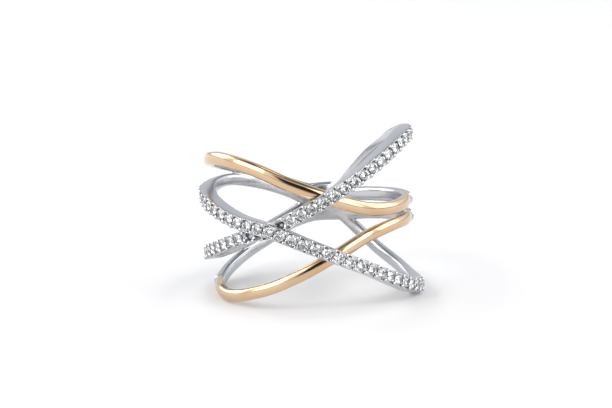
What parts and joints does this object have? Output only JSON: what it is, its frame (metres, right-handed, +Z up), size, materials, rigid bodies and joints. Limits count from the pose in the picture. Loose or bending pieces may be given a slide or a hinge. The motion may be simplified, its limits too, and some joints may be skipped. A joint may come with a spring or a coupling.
{
  "type": "crossover ring",
  "caption": "Finger ring whose two stone-set bands cross in an X over the front, with two plain gold wires woven past them, all joining in one shank behind.",
  "frame": {"origin": "on the surface the ring lies on, under the middle of its plan", "axes": "+Z up, -Y towards the front where the bands cross, +X towards the side where the stone-set bands spread widest; the finger axis leans about 6 degrees from +Z"},
  "size_m": [0.0212, 0.0203, 0.0158],
  "materials": {
    "white_gold": "polished",
    "rose_gold": "polished",
    "stones": "faceted"
  },
  "bodies": {
    "root": {"white_frame": "white_gold", "upper_gold_band": "rose_gold", "lower_gold_band": "rose_gold", "rising_stones": "stones", "falling_stones": "stones"}
  },
  "joints": []
}
